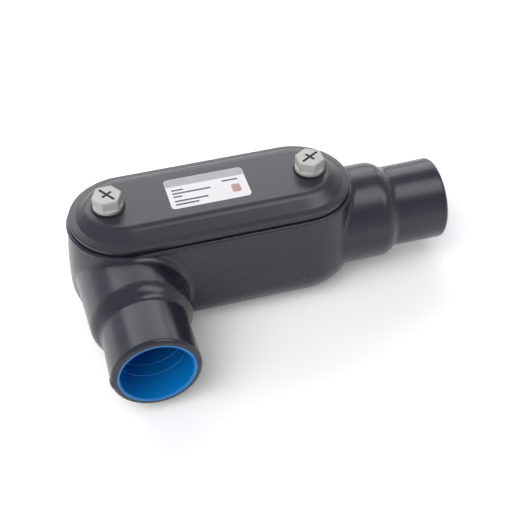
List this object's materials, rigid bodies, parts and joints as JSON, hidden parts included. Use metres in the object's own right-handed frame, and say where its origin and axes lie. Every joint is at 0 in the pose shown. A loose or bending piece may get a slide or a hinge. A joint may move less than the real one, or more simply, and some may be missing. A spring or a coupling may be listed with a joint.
{
  "type": "conduit body",
  "caption": "Coated angle conduit body with an end hub, a side hub, sleeved conduit entries and a gasketed domed cover held by capped screws.",
  "frame": {"origin": "on the flat back that the fitting rests on, below the middle of the cover opening", "axes": "+X along the end hub, -Y along the side hub, +Z out through the cover"},
  "size_m": [0.189, 0.1067, 0.068],
  "materials": {
    "urethane_coated_iron": "malleable iron under a glossy blue urethane",
    "pvc_coat": "dipped plastisol, satin",
    "blue_urethane": "satin blue urethane lining",
    "gasket_rubber": "black neoprene sheet",
    "cover_coat": "cast cover under dipped plastisol, satin",
    "label_film": "printed film, bare fields of colour",
    "stainless_steel": "plain stainless",
    "cap_plastic": "moulded, light grey",
    "washer_rubber": "black rubber"
  },
  "bodies": {
    "fitting": {"body_casting": "urethane_coated_iron", "pvc_jacket": "pvc_coat", "end_sleeve_liner": "blue_urethane", "side_sleeve_liner": "blue_urethane", "cover_gasket": "gasket_rubber"},
    "cover": {"cover_plate": "cover_coat", "cover_label": "label_film"},
    "left_washer": {"left_screw_washer": "washer_rubber"},
    "left_screw": {"left_screw": "stainless_steel", "left_screw_cap": "cap_plastic"},
    "right_washer": {"right_screw_washer": "washer_rubber"},
    "right_screw": {"right_screw": "stainless_steel", "right_screw_cap": "cap_plastic"}
  },
  "joints": [
    {"name": "cover_lift", "type": "slide", "parent": "fitting", "child": "cover", "axis": [0, 0, 1], "range_m": [0, 0.06]},
    {"name": "left_screw_rise", "type": "slide", "parent": "cover", "child": "left_washer", "axis": [0, 0, 1], "range_m": [0, 0.01005]},
    {"name": "left_screw_turn", "type": "hinge", "parent": "left_washer", "child": "left_screw", "pos_m": [-0.04925, 0, 0.0613], "axis": [0, 0, 1], "range_deg": [0, 3420]},
    {"name": "right_screw_rise", "type": "slide", "parent": "cover", "child": "right_washer", "axis": [0, 0, 1], "range_m": [0, 0.01005]},
    {"name": "right_screw_turn", "type": "hinge", "parent": "right_washer", "child": "right_screw", "pos_m": [0.04925, 0, 0.0613], "axis": [0, 0, 1], "range_deg": [0, 3420]}
  ],
  "couplings": [
    {"joint": "left_screw_turn", "follows": "left_screw_rise", "rad_per_m": 5937.1},
    {"joint": "right_screw_turn", "follows": "right_screw_rise", "rad_per_m": 5937.1}
  ]
}
